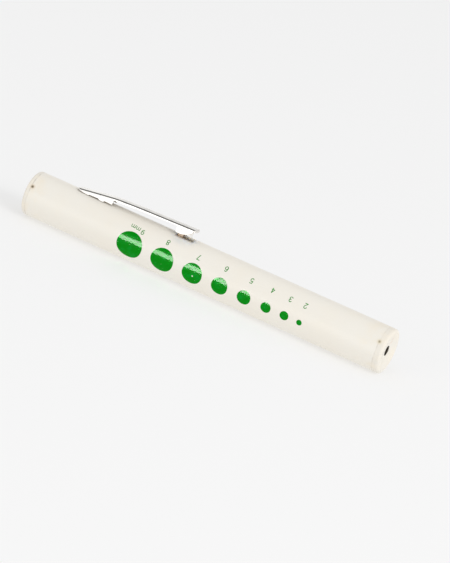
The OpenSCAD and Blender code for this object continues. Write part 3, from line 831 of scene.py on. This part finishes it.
class PENLIGHT_OT_clip(Operator):
    """Makes the folded pocket clip with its foot, notch, head and striker tab, and the pin."""
    bl_idname = "penlight.clip"
    bl_label = "Pocket clip"

    # Clip in millimetres: places along X from the pin, heights above the tube
    # Back: its corners and the softness of its bends
    back = np.array([(-38.1, 0.75), (-24.3, 2.65), (-16.0, 3.02), (5.0, 3.6)])
    back_soft = 1.6
    # Flange: its depth along the clip and its slope outwards
    flange = np.array([(-23.0, 0.85), (-3.0, 0.62)])
    lean = math.tan(math.radians(12))
    # Head: its start and lower edge, run and rise of the edge's curve, power of its end's plan
    head_start, head_gap = -1.65, 0.78
    head_turn = (4.8, 2.7)
    head_full = 0.45
    # Lip at the head's end: its start, height, bend radius, way in and out of that bend, and how strongly it
    # is darkened below its top
    head_stop, lip_h, lip_bend, lip_ramp, lip_dull = 4.3, 0.7, 0.08, (-0.4, 0.2), 0.22
    # Foot: its lower edge, and the notch behind it by its middle and radius
    foot = np.array([(-38.1, 0.40), (-36.9, 0.26), (-35.3, 0.02), (-33.7, -0.10), (-33.5, 0.13),
                     (-30.6, 0.26), (-29.95, 0.24), (-29.65, -0.08), (-28.9, -0.12), (-28.1, -0.08),
                     (-27.75, 0.33), (-24.9, 0.29)])
    notch_x, notch_h, notch_r = -24.25, 1.2, 0.65
    # Dark edge, painted as tarnish on the cut edges and as shade in the gaps under them: where its width
    # grows, the two widths, its strength on the middle, and the lip's clean top
    bare_x, bare_w, bare_middle, bare_top = (1.0, 3.2), (0.16, 0.50), 0.5, 0.03
    # Grid: points along a side, round an end and round the notch, room beside a step; rows; fold
    side_points, end_points, notch_points, step = 260, 62, 15, 0.004
    back_rows, flange_rows = (0.0, 0.25, 0.5, 0.75), (0.25, 0.45, 0.6, 0.75, 0.85, 0.93, 0.98)
    inner_flange_rows, inner_back_rows = (0.96, 0.5), (0.7, 0.3, 0.0)
    fold_steps, least_fold, fold_share, rim = 9, 0.02, 0.9, 0.04
    # Striker tab: its place, half width, lower end and corner radius
    tab_x, tab_half, tab_low, tab_round = 3.2, 0.8, -0.55, 0.25
    # Pin, in metres again: how far its ends stand out, the height of their domes, points round it
    pin_out, pin_dome, pin_steps = 0.22 * MM, 0.05 * MM, 32

    def execute(self, context):
        clip = context.scene.penlight_clip
        finish = metal("nickel", clip.nickel, clip.nickel_dull, 0.14, bare=clip.bare)
        sheet, tab = self.sheet(clip), self.tab(clip)
        paint = np.concatenate([self.paint(sheet[0]), np.zeros(len(tab[0]))])
        piece("clip_sheet", joined(sheet, tab), finish, "clip", ["pocket_clip"], paint=paint)
        piece("clip_hinge_pin", self.pin(), finish, "barrel", ["clip_pin"])
        return {"FINISHED"}

    def placed(self, grid):
        """Surface from a grid in the clip's own millimetres."""
        return woven(grid * MM + (PIN_X, 0.0, TOP_Z))

    def back_height(self, x):
        """Height of the back: straight runs joined by hyperbolas."""
        slopes = np.diff(self.back[:, 1]) / np.diff(self.back[:, 0])
        away = x[..., None] - self.back[1:-1, 0]
        soft = (away + np.sqrt(away ** 2 + self.back_soft ** 2)) / 2
        return self.back[0, 1] + slopes[0] * (x - self.back[0, 0]) + (np.diff(slopes) * soft).sum(-1)

    def head_height(self, x):
        """Height of the head's cut edge: an ellipse's quarter that climbs to the back."""
        run, rise = self.head_turn
        past = np.clip((x - self.head_stop + run) / run, 0, 1)
        return self.head_gap + rise * (1 - np.sqrt(1 - past ** 2))

    def edge_height(self, x):
        """Height of the lower edge: foot, notch, flange, rounded head and the lip at its end."""
        head = np.minimum(self.head_height(x), self.back_height(x) - self.lip_h)
        run = self.back_height(x) - np.interp(x, *self.flange.T)
        notch = self.notch_h + np.sqrt(np.maximum(self.notch_r ** 2 - (x - self.notch_x) ** 2, 0))
        in_notch = np.abs(x - self.notch_x) < self.notch_r
        edge = np.where(x > self.head_start, head, np.where(in_notch, np.maximum(notch, run), run))
        return np.where(x < self.foot[-1, 0], np.interp(x, *self.foot.T), edge)

    def paint(self, points):
        """Dark edge, partly tarnish and partly painted shade: 1 on the cut edges of foot and head, fading
        over their width; less between and on the lip.
        """
        x, z = (points[:, 0] - PIN_X) / MM, (points[:, 2] - TOP_Z) / MM
        head = (x > self.head_start) & (x < self.head_stop)
        line = np.where(head, self.head_height(x), self.edge_height(x))
        wide = np.interp(x, self.bare_x, self.bare_w)
        lip = (x >= self.head_stop) & (z < self.back_height(x) - self.bare_top)
        middle = np.where(x < self.head_start, self.bare_middle, 0.0)
        held = np.where(head | (x < self.foot[-1, 0]), 1.0, middle)
        return np.clip(1 - np.abs(z - line) / wide, 0, 1) * held + self.lip_dull * lip

    def sheet(self, clip):
        """Folded sheet: a bar with round ends in plan, its back carried along the back line.

        The head's end is fuller than a circle: its sine and cosine are taken to a power below 1.
        Rows run from the middle of the back outwards, round the fold, down the flange, and back
        inside at the sheet's thickness. Each row is the bar's outline drawn in by its own margin.
        The flange leans out by an even slope on its way down.
        """
        t, fold = clip.sheet / MM, clip.bend / MM
        half = (CLIP_HI.y - CLIP_LO.y) / 2 / MM
        start, stop = self.back[0, 0] + half, self.back[-1, 0] - half
        marks = np.array([self.head_start, *self.foot[:, 0],
                          self.notch_x - self.notch_r, self.notch_x + self.notch_r])
        side = np.unique(np.concatenate([
            np.linspace(start, stop, self.side_points), marks - self.step, marks + self.step,
            self.notch_x + self.notch_r * np.cos(np.linspace(0, math.pi, self.notch_points))]))
        side = side[(side >= start) & (side <= stop)]
        bow = (1 - np.cos(np.linspace(0, math.pi, self.end_points)[1:-1])) * math.pi / 2
        full_x = np.sin(bow) ** self.head_full
        full_y = np.sign(np.cos(bow)) * np.abs(np.cos(bow)) ** self.head_full
        none, one = np.zeros(len(side)), np.ones(len(side))
        centre = np.concatenate([side, np.full(len(bow), stop), side[::-1], np.full(len(bow), start)])
        out_x = np.concatenate([none, full_x, none, -np.sin(bow)])
        out_y = np.concatenate([-one, -full_y, one, np.cos(bow)])

        def row(margin, drop=0.0, height=None):
            x = centre + (half - margin) * out_x
            z = self.back_height(x) - drop if height is None else height
            return points_at(x, (half - margin) * out_y, z)

        rim_x = centre + half * out_x
        back, edge = self.back_height(rim_x), self.edge_height(rim_x)
        deep = np.maximum(back - edge, t)
        turn = np.interp(rim_x, self.head_stop + np.array(self.lip_ramp), (fold, self.lip_bend))
        outer_fold = np.minimum(turn, deep * self.fold_share)
        inner_fold = np.maximum(outer_fold - t, self.least_fold)
        outer_run, inner_run = deep - outer_fold, (deep - t - inner_fold).clip(0)
        splay = self.lean * outer_run
        bend = np.linspace(0, math.pi / 2, self.fold_steps)
        rows = [row(half * (1 - s) + fold * s) for s in self.back_rows]
        rows += [row(outer_fold * (1 - math.sin(a)), outer_fold * (1 - math.cos(a))) for a in bend]
        rows += [row(-splay * s, height=back - outer_fold - outer_run * s) for s in self.flange_rows]
        rows += [row(m - splay, height=back - deep) for m in (self.rim, t - self.rim)]
        rows += [row(t - splay * s, height=back - t - inner_fold - inner_run * s)
                 for s in self.inner_flange_rows]
        rows += [row(t + inner_fold * (1 - math.sin(a)), t + inner_fold * (1 - math.cos(a)))
                 for a in bend[::-2]]
        rows += [row(half * (1 - s) + (t + fold) * s, t) for s in self.inner_back_rows]
        return self.placed(np.array(rows))

    def tab(self, clip):
        """Striker tab: a plate under the head with rounded lower corners, one sheet thick."""
        t = clip.sheet / MM
        half, low = self.tab_half, self.tab_low
        top = float(self.back_height(np.array([self.tab_x]))[0]) - t / 2
        corners = [(0, top), (-half, top), (-half, low), (half, low), (half, top), (0, top)]
        outline = rounded(corners, (0, self.tab_round, self.tab_round, 0))[:-1]
        x = self.tab_x + np.array([-t / 2, -t / 2, t / 2, t / 2])[:, None]
        grow = np.array([0.0, 1.0, 1.0, 0.0])[:, None, None]
        y, z = np.moveaxis(outline.mean(0) + grow * (outline - outline.mean(0)), -1, 0)
        return self.placed(points_at(x, y, z))

    def pin(self):
        """Pin across the clip with domed, peened ends."""
        r = (PIN_HI.z - PIN_LO.z) / 2
        dome = arc((0, 0), (self.pin_dome, r), 0, 90, 8)
        half = points_at(PIN_HI.y + self.pin_out - self.pin_dome + dome[:, 0], dome[:, 1])
        profile = np.concatenate([half, (half * (-1, 1))[::-1]])
        a = full_turn(self.pin_steps)
        y, r = profile[:, :1], profile[:, 1:]
        return woven(points_at(PIN_X + r * np.cos(a), y, PIN_Z + r * np.sin(a)))


class PENLIGHT_OT_contacts(Operator):
    """Finishes the bracket, strips and tail contact, and makes the return leaf and the tail spring."""
    bl_idname = "penlight.contacts"
    bl_label = "Contacts and spring"

    # Tail spring: its wire, turns, pitch of the closed end turns, and radius at the cell
    wire_r = 0.35 * MM
    turns = 7
    turn_steps = 48
    closed_pitch = 1.15 * MM
    cell_end_r = 3.3 * MM
    # Return leaf: thickness, distance of its rise from the pin, run and rise of its ramp, bend radius
    leaf_t = 0.2 * MM
    leaf_rise = 1.05 * MM
    leaf_ramp = (0.5 * MM, 0.25 * MM)
    leaf_bend = 0.3 * MM
    leaf_steps = 72

    def execute(self, context):
        inside = context.scene.penlight_inside
        brass = metal("brass", inside.brass, (0.42, 0.26, 0.11), 0.28)
        steel = metal("spring_steel", inside.steel, (0.40, 0.39, 0.38), 0.22, NO_BRUSH)
        # Contact leaf and bracket are painted paler than tinned and old brass are: painted light for the
        # shaded slot under the clip's head
        finish_node("contact_leaf", metal("tinned_brass", (0.95, 0.92, 0.87), (0.86, 0.80, 0.72), 0.62))
        finish_node("clip_bracket", metal("old_brass", (0.84, 0.70, 0.56), (0.56, 0.40, 0.27), 0.6))
        for node in ("ground_strip", "bulb_holder", "tail_contact"):
            finish_node(node, brass)
        leaf, root, tip = self.leaf()
        piece("return_spring_leaf", leaf, steel, "barrel", ["return_leaf"],
              flex=("clip", root, tip))
        piece("tail_coil", self.coil(), steel, "tail_end", ["tail_spring"])
        return {"FINISHED"}

    def leaf(self):
        """Strip along a base, a rise and a ramp with round bends: a rectangle carried along that line.

        Both ends of the rise are given too.
        """
        low, top = LEAF_LO.z + self.leaf_t / 2, LEAF_HI.z - self.leaf_t
        rise_x = PIN_X + self.leaf_rise + self.leaf_t / 2
        ramp_x, ramp_z = LEAF_HI.x - self.leaf_ramp[0], top - self.leaf_ramp[1]
        line = rounded([(LEAF_LO.x, low), (rise_x, low), (ramp_x, ramp_z), (LEAF_HI.x, top)],
                       (self.leaf_bend, self.leaf_bend))
        line = resampled(line, self.leaf_steps)
        grow = np.pad(np.ones(len(line)), 1)[:, None]
        line, along = held_ends(line, 1), held_ends(directions(line), 1)
        out = grow * np.array([-1, -1, 1, 1]) * self.leaf_t / 2
        y = grow * np.array([-1, 1, 1, -1]) * LEAF_HI.y
        strip = woven(points_at(line[:, :1] - along[:, 1:] * out, y, line[:, 1:] + along[:, :1] * out))
        return strip, (rise_x, 0, low), (ramp_x, 0, ramp_z)

    def coil(self):
        """Helix whose end turns lie close and whose radius shrinks evenly towards the cell."""
        turn = np.linspace(0, self.turns, self.turns * self.turn_steps + 1)
        start, stop = SPRING_LO.x + self.wire_r, SPRING_HI.x - self.wire_r
        wide = (SPRING_HI.z - AXIS_Z) - self.wire_r
        narrow = self.cell_end_r - self.wire_r
        free = stop - start - 2 * self.closed_pitch
        closed_turns = np.minimum(turn, 1) + np.maximum(turn - self.turns + 1, 0)
        free_share = np.clip((turn - 1) / (self.turns - 2), 0, 1)
        x = start + self.closed_pitch * closed_turns + free * free_share
        r = wide + (narrow - wide) * turn / self.turns
        angle = 2 * math.pi * turn
        outward = points_at(0.0, np.cos(angle), np.sin(angle))
        path = points_at(x, r * np.cos(angle), AXIS_Z + r * np.sin(angle))
        return swept(path, outward, self.wire_r)


class PENLIGHT_OT_bulb(Operator):
    """Makes the bulb's threaded shell, glass and filament, and finishes the pieces round them."""
    bl_idname = "penlight.bulb"
    bl_label = "Bulb"

    # Screw thread: its turns and depth, share of the shell's length over which it runs out, rings
    thread_turns, thread_depth, thread_fade, thread_rings = 4.5, 0.25 * MM, 0.08, 90
    # Screw shell: its wall and its gap to the glass
    shell_wall, glass_gap = 0.3 * MM, 0.05 * MM
    # Glass: its wall and the depth of the hollow behind the lens
    glass_wall, hollow_depth = 0.5 * MM, 0.2 * MM
    # Filament: radii of leads, coil and wire, how far leads and coil stand back, turns, steps, sides
    lead_r, coil_r, coil_wire = 0.15 * MM, 0.085 * MM, 0.03 * MM
    lead_back, coil_back = 0.03 * MM, 0.12 * MM
    lead_steps, coil_turns, coil_steps = 12, 14, 16
    lead_sides, coil_sides = 12, 6

    def execute(self, context):
        inside = context.scene.penlight_inside
        brass, glass = bpy.data.materials["brass"], bulb_glass()
        tungsten = metal("tungsten", (0.42, 0.41, 0.40), (0.25, 0.24, 0.23), 0.35)
        black = dull_solid("black_insulator", (0.012, 0.012, 0.013), (0.03, 0.03, 0.03), 0.35)
        piece("bulb_screw_shell", self.shell(), brass, "barrel", ["bulb_shell"])
        piece("bulb_lens_glass", turned(self.glass()), glass, "barrel", ["bulb_glass"])
        piece("bulb_coil", self.filament(), tungsten, "barrel", ["bulb_filament"])
        finish_node("bulb_stem", glass)
        finish_node("bulb_insulator", black)
        finish_node("bulb_tip", metal("solder", (0.68, 0.68, 0.67), (0.45, 0.45, 0.44), 0.4))
        finish_node("insulating_washer", dull_solid("fibre", inside.fibre, (0.30, 0.16, 0.08), 0.75))
        return {"FINISHED"}

    def shell(self):
        """Screw shell of radius root + depth f (1 + cos(2 pi n s - a)) / 2.

        s runs along it, a runs round it, and f fades the thread out towards both ends.
        """
        low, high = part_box("bulb_shell")
        root_r = high.z - AXIS_Z - self.thread_depth
        mouth_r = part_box("bulb_glass")[1].z - AXIS_Z + self.glass_gap
        inner_r = root_r - self.shell_wall
        s = np.linspace(0, 1, self.thread_rings)[:, None]
        a = full_turn(ROUND_STEPS)
        ends = np.clip(np.minimum(s, 1 - s) / self.thread_fade, 0, 1)
        wave = (1 + np.cos(2 * math.pi * self.thread_turns * s - a)) / 2
        outer = round_about(low.x + (high.x - low.x) * s, root_r + self.thread_depth * wave * ends, a)
        lip = np.array([(high.x, mouth_r), (high.x - self.shell_wall, mouth_r),
                        (high.x - self.shell_wall, inner_r), (low.x, inner_r)])
        return woven(np.concatenate([outer, round_about(lip[:, :1], lip[:, 1:], a), outer[:1]]))

    def glass(self):
        """Tube that ends in a solid round lens; the profile runs out along the skin and back inside."""
        low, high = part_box("bulb_glass")
        r = high.z - AXIS_Z
        inner = r - self.glass_wall
        lens = arc((high.x - r, 0), r, 90, 0, 24)
        hollow = arc((high.x - r - self.hollow_depth, 0), (self.hollow_depth, inner), 0, 90, 10)
        return np.concatenate([[(low.x, inner), (low.x, r)], lens, hollow])

    def filament(self):
        """Two lead wires and a fine coil between their ends."""
        low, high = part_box("bulb_filament")
        y = high.y - self.lead_r
        x = np.linspace(low.x, high.x - self.lead_back, self.lead_steps)
        up = np.tile((0.0, 0.0, 1.0), (self.lead_steps, 1))
        leads = [swept(points_at(x, side * y, AXIS_Z), up, self.lead_r, self.lead_sides) for side in (-1, 1)]
        turn = np.linspace(0, self.coil_turns, self.coil_turns * self.coil_steps)
        angle = 2 * math.pi * turn
        outward = points_at(np.cos(angle), 0.0, np.sin(angle))
        middle = points_at(high.x - self.coil_back, y * (2 * turn / self.coil_turns - 1), AXIS_Z)
        coil = swept(middle + self.coil_r * outward, outward, self.coil_wire, self.coil_sides)
        return joined(*leads, coil)


class PENLIGHT_OT_cells(Operator):
    """Makes the two cells: sleeve with rolled ends, seal, terminal and base."""
    bl_idname = "penlight.cells"
    bl_label = "Cells"

    sleeve_wall, sleeve_roll = 0.3 * MM, 0.27 * MM
    # Terminal: radius of its nub, height of its flange, radii and depth of its dimple, rounded corners
    nub_r, nub_flange = 1.9 * MM, 0.6 * MM
    dimple_r, dimple_depth = (0.7 * MM, 0.5 * MM), 0.12 * MM
    nub_rounds = (0.1 * MM, 0.2 * MM, 0.2 * MM, 0.4 * MM, 0.1 * MM, 0.1 * MM)
    # Base: height of its ring, the ring's edges as shares of the radius, rounding of its corners
    ring_height, ring_edges = 0.2 * MM, (0.92, 0.86, 0.62, 0.52)
    base_rounds = (0, 0.1 * MM, 0.1 * MM, 0.15 * MM, 0.15 * MM, 0.2 * MM)

    def execute(self, context):
        boxes = {name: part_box(f"{name}_can") for name in ("front_cell", "rear_cell")}
        sleeve = cell_sleeve(context.scene.penlight_inside, [high.x for _, high in boxes.values()])
        plate = metal("cell_plate", (0.72, 0.71, 0.69), (0.48, 0.47, 0.45), 0.25, NO_BRUSH)
        seal = dull_solid("cell_seal", (0.02, 0.02, 0.022), (0.05, 0.05, 0.05), 0.5)
        core = dull_solid("cell_core", (0.03, 0.03, 0.03), (0.07, 0.065, 0.06), 0.8)
        for name, box in boxes.items():
            for part, profile, finish, node, slot in (
                    ("sleeve", self.sleeve(*box), sleeve, "can", "cell_can"),
                    ("nub", self.nub(name), plate, "terminal", "cell_plate"),
                    ("bottom", self.bottom(name), plate, "base", "cell_plate")):
                piece(f"{name}_{part}", turned(profile), finish, "barrel", [f"{name}_{node}"])
            finish_node(f"{name}_seal", seal)
            finish_node(f"{name}_core", core)
        return {"FINISHED"}

    def sleeve(self, low, high):
        """Closed profile of the sleeve with rolled ends."""
        r = high.z - AXIS_Z
        inner = r - self.sleeve_wall
        corners = [(low.x, inner), (low.x, r), (high.x, r), (high.x, inner), (low.x, inner)]
        return rounded(corners, (self.sleeve_roll, self.sleeve_roll, 0))

    def nub(self, name):
        """Terminal with a rounded edge on its flange, and a small dimple."""
        low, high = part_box(f"{name}_terminal")
        flange, r = high.z - AXIS_Z, self.nub_r
        step, dip = low.x + self.nub_flange, high.x - self.dimple_depth
        corners = [(low.x, 0), (low.x, flange), (step, flange), (step, r), (high.x, r),
                   (high.x, self.dimple_r[0]), (dip, self.dimple_r[1]), (dip, 0)]
        return rounded(corners, self.nub_rounds)

    def bottom(self, name):
        """Base plate with a raised ring that the spring or the next cell bears on."""
        low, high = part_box(f"{name}_base")
        r = high.z - AXIS_Z
        dip = low.x + self.ring_height
        edges = zip((dip, low.x, low.x, dip), (share * r for share in self.ring_edges))
        return rounded([(high.x, 0), (high.x, r), (dip, r), *edges, (dip, 0)], self.base_rounds)


class PENLIGHT_OT_stage(Operator):
    """Sets up the floor, the softboxes, the world and the camera."""
    bl_idname = "penlight.stage"
    bl_label = "Stage"

    floor_half = 3.0
    floor_points = 9
    floor_tone = 0.89
    # Gain of the even light overhead; heights between which the seen sky dims to a ceiling, and its level
    sky_gain = 1.20
    ceiling_band, ceiling_level = (0.18, 0.58), 0.15
    camera_clip = (0.01, 100.0)
    aim = Vector((0.0, 0.0, 0.008))
    # Lamp, place, size, power setting, whether plain surfaces and gloss show it, the one finish it lights
    lamps = (
        ("key_softbox", (-0.48, -1.42, 0.40), (0.60, 0.56), "key_power", True, False, None),
        ("glint_strip", (-0.48, -1.42, 0.22), (0.26, 0.54), "glint_power", False, True, None),
        ("sheen_strip", (0.0, -0.046, 0.0096), (0.24, 0.0150), "sheen_power", False, True, "ivory_plastic"),
        ("glare_strip", (0.0, -0.044, 0.0096), (0.24, 0.0150), "glare_power", False, True, "green_ink"),
        ("side_softbox", (1.40, -0.60, 0.90), (1.00, 1.00), "side_power", True, False, None),
    )

    def execute(self, context):
        stage = context.scene.penlight_stage
        self.floor(stage)
        self.world(context.scene, stage)
        for lamp in self.lamps:
            self.softbox(stage, *lamp)
        self.camera(context.scene)
        context.scene.view_settings.view_transform = "Standard"
        return {"FINISHED"}

    def floor(self, stage):
        """Pale floor: white to the eye and to metal, with part of it a plain surface that takes shadow."""
        across = np.linspace(-self.floor_half, self.floor_half, self.floor_points)
        points, quads = woven(points_at(across[:, None], across, AXIS_Z - SKIN_R), closed=False)
        mesh = bpy.data.meshes.new("studio_floor")
        mesh.from_pydata(points.tolist(), [], quads[:, ::-1].tolist())
        material = bpy.data.materials.new("studio_floor")
        g = Graph(material)
        plain = g.fill(g.node("ShaderNodeBsdfDiffuse"), Color=(self.floor_tone,) * 3)
        glow = g.fill(g.node("ShaderNodeEmission"), Color=(stage.backdrop,) * 3)
        share = g.between(g.seen(), 0.0, 1.0, stage.floor_glow, 1.0 - stage.floor_shadow, "LINEAR")
        mixed = g.fed("ShaderNodeMixShader", (share, plain.outputs[0], glow.outputs[0]))
        g.end("ShaderNodeOutputMaterial", mixed)
        mesh.materials.append(material)
        obj = bpy.data.objects.new("studio_floor", mesh)
        bpy.context.scene.collection.objects.link(obj)

    def world(self, scene, stage):
        """Even light for the object; the backdrop's white, with a dim ceiling, for the eye and for metal."""
        scene.world = bpy.data.worlds.new("studio")
        g = Graph(scene.world)
        up = g.axes(g.node("ShaderNodeTexCoord").outputs["Generated"])["Z"]
        ceiling = g.between(up, *self.ceiling_band, stage.backdrop, self.ceiling_level)
        sky = g.between(up, 0.0, 1.0, stage.fill, stage.fill * self.sky_gain, "LINEAR")
        level = g.between(g.seen(), 0.0, 1.0, sky, ceiling, "LINEAR")
        g.end("ShaderNodeOutputWorld", g.fed("ShaderNodeBackground", ((1.0, 1.0, 1.0), level)))

    def softbox(self, stage, name, place, size, setting, diffuse, gloss, finish):
        """Rectangular area lamp that faces the tube, and lights its plain surfaces or its gloss."""
        lamp = bpy.data.lights.new(name, "AREA")
        lamp.shape = "RECTANGLE"
        lamp.size, lamp.size_y = size
        lamp.energy = getattr(stage, setting)
        obj = bpy.data.objects.new(name, lamp)
        obj.location = place
        obj.rotation_mode = "QUATERNION"
        obj.rotation_quaternion = (self.aim - Vector(place)).to_track_quat("-Z", "Y")
        obj.visible_diffuse = diffuse
        obj.visible_glossy = gloss
        obj.visible_camera = False
        bpy.context.scene.collection.objects.link(obj)
        if finish:
            obj.light_linking.receiver_collection = finished_with(finish)

    def camera(self, scene):
        """Camera of the photograph: its place, aim and roll, and its focal length in pixels of the frame."""
        data = bpy.data.cameras.new("photo_camera")
        data.sensor_width = SENSOR
        data.lens = FOCAL_PX * SENSOR / max(IMAGE_W, IMAGE_H)
        data.clip_start, data.clip_end = self.camera_clip
        obj = bpy.data.objects.new("photo_camera", data)
        turn = (CAMERA_AIM - CAMERA_PLACE).to_track_quat("-Z", "Y").to_matrix().to_4x4()
        obj.matrix_world = Matrix.Translation(CAMERA_PLACE) @ turn @ Matrix.Rotation(CAMERA_ROLL, 4, "Z")
        scene.collection.objects.link(obj)
        scene.camera = obj


MAKERS = (PENLIGHT_OT_stage, PENLIGHT_OT_tube, PENLIGHT_OT_plugs, PENLIGHT_OT_gauge, PENLIGHT_OT_clip,
          PENLIGHT_OT_contacts, PENLIGHT_OT_bulb, PENLIGHT_OT_cells)


class PENLIGHT_PT_sidebar(Panel):
    """Lists the makers and their settings."""
    bl_label = "Penlight"
    bl_space_type = "VIEW_3D"
    bl_region_type = "UI"
    bl_category = "Penlight"

    def draw(self, context):
        for maker in MAKERS:
            self.layout.operator(maker.bl_idname)
        for key, group in SETTINGS.items():
            box = self.layout.box()
            for name in group.__annotations__:
                box.prop(getattr(context.scene, key), name)


CLASSES = (*SETTINGS.values(), *MAKERS, PENLIGHT_PT_sidebar)


def register():
    for cls in CLASSES:
        bpy.utils.register_class(cls)
    for key, group in SETTINGS.items():
        setattr(bpy.types.Scene, key, PointerProperty(type=group))


def unregister():
    for key in SETTINGS:
        delattr(bpy.types.Scene, key)
    for cls in reversed(CLASSES):
        bpy.utils.unregister_class(cls)


def main():
    register()
    for maker in MAKERS:
        group, name = maker.bl_idname.split(".")
        getattr(getattr(bpy.ops, group), name)()


if __name__ == "__main__":
    main()
